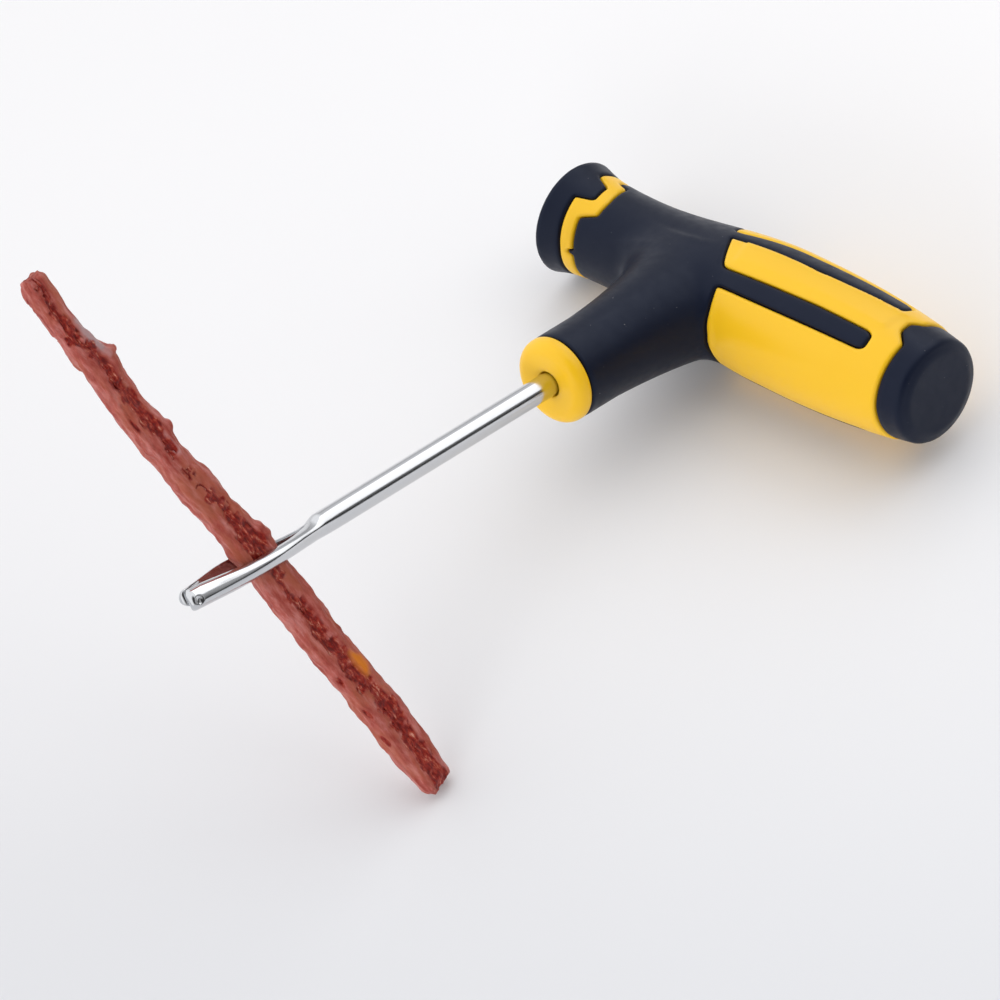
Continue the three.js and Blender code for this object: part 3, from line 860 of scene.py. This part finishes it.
def strand_mesh(side, lower_end):
    """One tacky strand, with its places on the strip and how torn each is."""
    around = 56
    turn = np.arange(around) / around * 2 * np.pi
    # The outer edge is rounded, and the edge on the other strand is nearly square.
    power = np.where(side * np.cos(turn) > 0, 0.8, 0.35)
    beside = np.sign(np.cos(turn)) * np.abs(np.cos(turn)) ** power
    above = np.sign(np.sin(turn)) * np.abs(np.sin(turn)) ** power
    rings, places, tears = [], [], []
    for t in strand_stations(lower_end):
        from_end = min(t + STRIP_UP, lower_end - t)
        size = math.sqrt(1 - (1 - min(1.0, from_end / END_ROUND)) ** 2)
        sway, middle, own_half, thick = strand_form(side, t, size)
        ring = np.empty((around, 3))
        for i in range(around):
            across_strip, deep = middle + own_half * beside[i], thick * above[i]
            height, torn = rubber_relief(across_strip, deep, t)
            length = math.hypot(math.cos(turn[i]) * thick, math.sin(turn[i]) * own_half)
            out_wide = math.cos(turn[i]) * thick / length
            out_deep = math.sin(turn[i]) * own_half / length
            ragged = 1.6 * noise.noise(Vector((across_strip * 0.7, deep * 0.7, 5))) - 0.8
            along = t + math.copysign(min(0.0, ragged) * math.exp(-from_end / 1.5), t)
            place = strip_middle + strip_down * along + strip_wide * (sway + across_strip + out_wide * height)
            room = EYE_ROOM - EYE_NARROWING * max(0.0, -1 - across_strip)
            ring[i] = place + across * min(room, deep + out_deep * height)
            places.append((across_strip, deep, t))
            tears.append(torn)
        rings.append(ring)
    points, faces = lofted(rings, close_start=True, close_end=True)
    return points, faces, places, tears


def patch_share(place, patches):
    share = 0.0
    for t, across_strip, length, width in patches:
        ragged = 0.35 * noise.noise(Vector((place[0] * 1.1, place[1], place[2] * 0.7)))
        reach = math.hypot((place[2] - t) / length, (place[0] - across_strip) / width) + ragged
        share = max(share, min(1.0, max(0.0, 2.2 - 1.8 * reach)))
    return share if place[1] > 0 else 0.0


def store_strand(piece, points, places, tears):
    """Stores what the material reads on the piece's vertices, found again by place after the merging."""
    tree = KDTree(len(points))
    for i, point in enumerate(points):
        tree.insert(tool_to_row @ Vector(point * MM), i)
    tree.balance()
    found = [tree.find(vertex.co)[1] for vertex in piece.data.vertices]
    layers = {
        "torn": [tears[i] for i in found],
        "orange": [patch_share(places[i], ORANGE_SPOTS) for i in found],
        # Painted highlights: where the pale patches lie.
        "pale": [patch_share(places[i], HIGHLIGHT_PATCHES) for i in found],
    }
    for name, values in layers.items():
        piece.data.attributes.new(name, "FLOAT", "POINT").data.foreach_set("value", values)
    lengthwise = piece.data.attributes.new("lengthwise", "FLOAT_VECTOR", "POINT")
    lengthwise.data.foreach_set("vector", [v for i in found for v in (*places[i][:2], places[i][2] * 0.35)])


def plug_rubber():
    finish = Finish("plug_rubber", IOR=1.42, Subsurface_Weight=0.12, Subsurface_Scale=0.0012)
    finish.shader.inputs["Subsurface Radius"].default_value = (1.0, 0.2, 0.12)
    finish.place = finish.attribute("lengthwise", "Vector")
    torn = finish.attribute("torn", "Fac")
    cloud = finish.noise(0.8, 5, (1, 1, 0.8), 0.65)
    skin = finish.ramp(
        cloud,
        [(0.32, (0.3, 0.035, 0.022)), (0.5, (0.43, 0.095, 0.072)), (0.68, (0.57, 0.2, 0.175))],
    )
    brown = finish.span(finish.noise(0.28, 3), 0.45, 0.65, 0, 0.6)
    skin = finish.mix(brown, skin, (0.4, 0.1, 0.045))
    # Painted highlights: pale pink over the skin on the patches.
    skin = finish.mix(finish.attribute("pale", "Fac"), skin, (0.46, 0.29, 0.29))
    # The crumbs in the torn crevices and pits are dark red, partly the torn rubber's own colour and partly
    # painted shade; their palest specks are painted highlights.
    crumbs_shade_and_highlights = finish.ramp(
        finish.noise(1.4, 4, (1, 1, 1.1), 0.65),
        [
            (0.38, (0.14, 0.003, 0.001)), (0.5, (0.27, 0.01, 0.004)), (0.6, (0.42, 0.06, 0.03)),
            (0.7, (0.62, 0.28, 0.2)),
        ],
    )
    # The crumbs' painted shade and painted highlights go where the rubber is torn.
    rubber = finish.mix(finish.span(torn, 0.1, 0.7, 0, 1), skin, crumbs_shade_and_highlights)
    finish.feed("Base Color", finish.mix(finish.attribute("orange", "Fac"), rubber, (0.66, 0.19, 0.01)))
    finish.feed("Roughness", finish.span(finish.noise(1.2, 4), 0.3, 0.7, 0.3, 0.55))
    creases = finish.noise(1.1, 5, None, 0.6)
    finish.bump([(creases, 0.6, 0.35), (finish.noise(3.5, 4, (1, 1, 2), 0.6), 0.4, 0.12)])
    return finish.material


def strip_pieces():
    rubber = plug_rubber()
    cord = yarn_cord()
    lower_end = strip_lower_end()
    for place, side in (("front", -1), ("rear", 1)):
        points, faces, places, tears = strand_mesh(side, lower_end)
        name, node = f"tacky_strand_{place}", f"strip_strand_{place}"
        strand = make_piece(name, points, faces, rubber, "plug_strip", "plug_rubber", [node])
        store_strand(strand, points, places, tears)
        for number in range(1, YARNS + 1):
            points, faces = yarn_mesh(side, number, lower_end)
            name, node = f"cord_{place}_{number}", f"yarn_{place}_{number}"
            make_piece(name, points, faces, cord, "plug_strip", "yarn", [node])


def yarn_cord():
    finish = Finish("yarn", Roughness=0.85)
    fibres = finish.noise(2600, 3, (1, 0.15, 0.15))
    finish.feed("Base Color", finish.mix(fibres, (0.34, 0.13, 0.07), (0.2, 0.06, 0.035)))
    finish.bump([(fibres, 0.4, 0.05)])
    return finish.material


strip_pieces()


# ---- Light and floor ----

# The sky's brightness by height, tilted so that the side towards the row's +X and +Y is darker.
SKY_TILT = (-0.5, -0.5, 1.0)
SKY_LOW, SKY_HIGH = -0.6, 1.25
SKY = [
    (-0.56, 0.04), (-0.44, 0.12), (-0.32, 0.3), (-0.15, 0.42), (0.1, 0.5), (0.4, 0.9), (0.6, 1.15),
    (1.2, 1.15),
]
SKY_STRENGTH = 1.05
# The side the picture is taken from is dark, within these cosines of it.
DARK_SIDE = (0.566, -0.38, 0.732)
DARK_FROM, DARK_TO, DARK_STRENGTH = 0.77, 0.95, 0.05
# The floor's colour on its near and far side, where painted shade darkens it towards the camera, and where
# each begins, in metres away from the camera.
FLOOR_AWAY = (-0.507, 0.862, 0)
FLOOR_NEAR, FLOOR_FAR = -0.22, 0.12
NEAR_PAINTED_SHADE_TONE, FAR_TONE = (0.72, 0.73, 0.755), (0.94, 0.935, 0.94)
FLOOR_HALF = 3.0
FLOOR_DROP = 0.0002  # the floor lies this much below the tool, so that they don't share a plane


def add_floor():
    mesh = bpy.data.meshes.new("floor")
    corners = [(FLOOR_HALF * x, FLOOR_HALF * y, 0) for x, y in ((-1, -1), (1, -1), (1, 1), (-1, 1))]
    mesh.from_pydata(corners, [], [(0, 1, 2, 3)])
    floor = bpy.data.objects.new("floor", mesh)
    floor.location.z = -FLOOR_DROP
    bpy.context.scene.collection.objects.link(floor)
    material = bpy.data.materials.new("floor")
    material.use_nodes = True
    shader = material.node_tree.nodes["Principled BSDF"]
    shade_floor(material.node_tree, shader)
    shader.inputs["Roughness"].default_value = 0.7
    shader.inputs["Specular IOR Level"].default_value = 0.2
    mesh.materials.append(material)


def shade_floor(tree, shader):
    """The floor's colour, with painted shade that darkens it towards the camera."""
    away = tree.nodes.new("ShaderNodeVectorMath")
    away.operation = "DOT_PRODUCT"
    away.inputs[1].default_value = FLOOR_AWAY
    tree.links.new(tree.nodes.new("ShaderNodeTexCoord").outputs["Object"], away.inputs[0])
    share = tree.nodes.new("ShaderNodeMapRange")
    share.interpolation_type = "SMOOTHSTEP"
    share.inputs["From Min"].default_value = FLOOR_NEAR
    share.inputs["From Max"].default_value = FLOOR_FAR
    tree.links.new(away.outputs["Value"], share.inputs["Value"])
    # Painted shade: this ramp darkens the floor towards the camera.
    tone = tree.nodes.new("ShaderNodeValToRGB")
    tone.color_ramp.elements[0].color = (*NEAR_PAINTED_SHADE_TONE, 1)
    tone.color_ramp.elements[1].color = (*FAR_TONE, 1)
    tree.links.new(share.outputs["Result"], tone.inputs["Fac"])
    tree.links.new(tone.outputs["Color"], shader.inputs["Base Color"])


def add_area(name, place, size, power, reflected=True, aim=(0, 0, 0.02)):
    data = bpy.data.lights.new(name, "AREA")
    data.shape = "RECTANGLE"
    data.size, data.size_y = size
    data.energy = power
    light = bpy.data.objects.new(name, data)
    light.location = place
    light.rotation_mode = "QUATERNION"
    light.rotation_quaternion = (Vector(place) - Vector(aim)).to_track_quat("Z", "Y")
    light.visible_glossy = reflected
    bpy.context.scene.collection.objects.link(light)


def add_world():
    world = bpy.data.worlds.new("studio")
    bpy.context.scene.world = world
    world.use_nodes = True
    nodes, links = world.node_tree.nodes, world.node_tree.links
    tilted = nodes.new("ShaderNodeVectorMath")
    tilted.operation = "DOT_PRODUCT"
    tilted.inputs[1].default_value = SKY_TILT
    direction = nodes.new("ShaderNodeTexCoord").outputs["Generated"]
    links.new(direction, tilted.inputs[0])
    height = nodes.new("ShaderNodeMapRange")
    height.inputs["From Min"].default_value = SKY_LOW
    height.inputs["From Max"].default_value = SKY_HIGH
    links.new(tilted.outputs["Value"], height.inputs["Value"])
    ramp = nodes.new("ShaderNodeValToRGB")
    while len(ramp.color_ramp.elements) < len(SKY):
        ramp.color_ramp.elements.new(0.5)
    for element, (at, grey) in zip(ramp.color_ramp.elements, SKY):
        element.position = (at - SKY_LOW) / (SKY_HIGH - SKY_LOW)
        element.color = (grey * 0.985, grey * 0.985, grey, 1)
    links.new(height.outputs["Result"], ramp.inputs["Fac"])
    links.new(ramp.outputs["Color"], nodes["Background"].inputs["Color"])
    facing = nodes.new("ShaderNodeVectorMath")
    facing.operation = "DOT_PRODUCT"
    facing.inputs[1].default_value = DARK_SIDE
    links.new(direction, facing.inputs[0])
    strength = nodes.new("ShaderNodeMapRange")
    strength.interpolation_type = "SMOOTHSTEP"
    strength.inputs["From Min"].default_value = DARK_FROM
    strength.inputs["From Max"].default_value = DARK_TO
    strength.inputs["To Min"].default_value = SKY_STRENGTH
    strength.inputs["To Max"].default_value = DARK_STRENGTH
    links.new(facing.outputs["Value"], strength.inputs["Value"])
    links.new(strength.outputs["Result"], nodes["Background"].inputs["Strength"])


bpy.context.scene.view_settings.view_transform = "Standard"
add_floor()
add_area("key", (0.06, 0.6, 0.5), (0.95, 0.5), 1.65)
add_area("fill", (0.4, -0.75, 0.28), (0.6, 0.4), 2.2, reflected=False)
add_world()
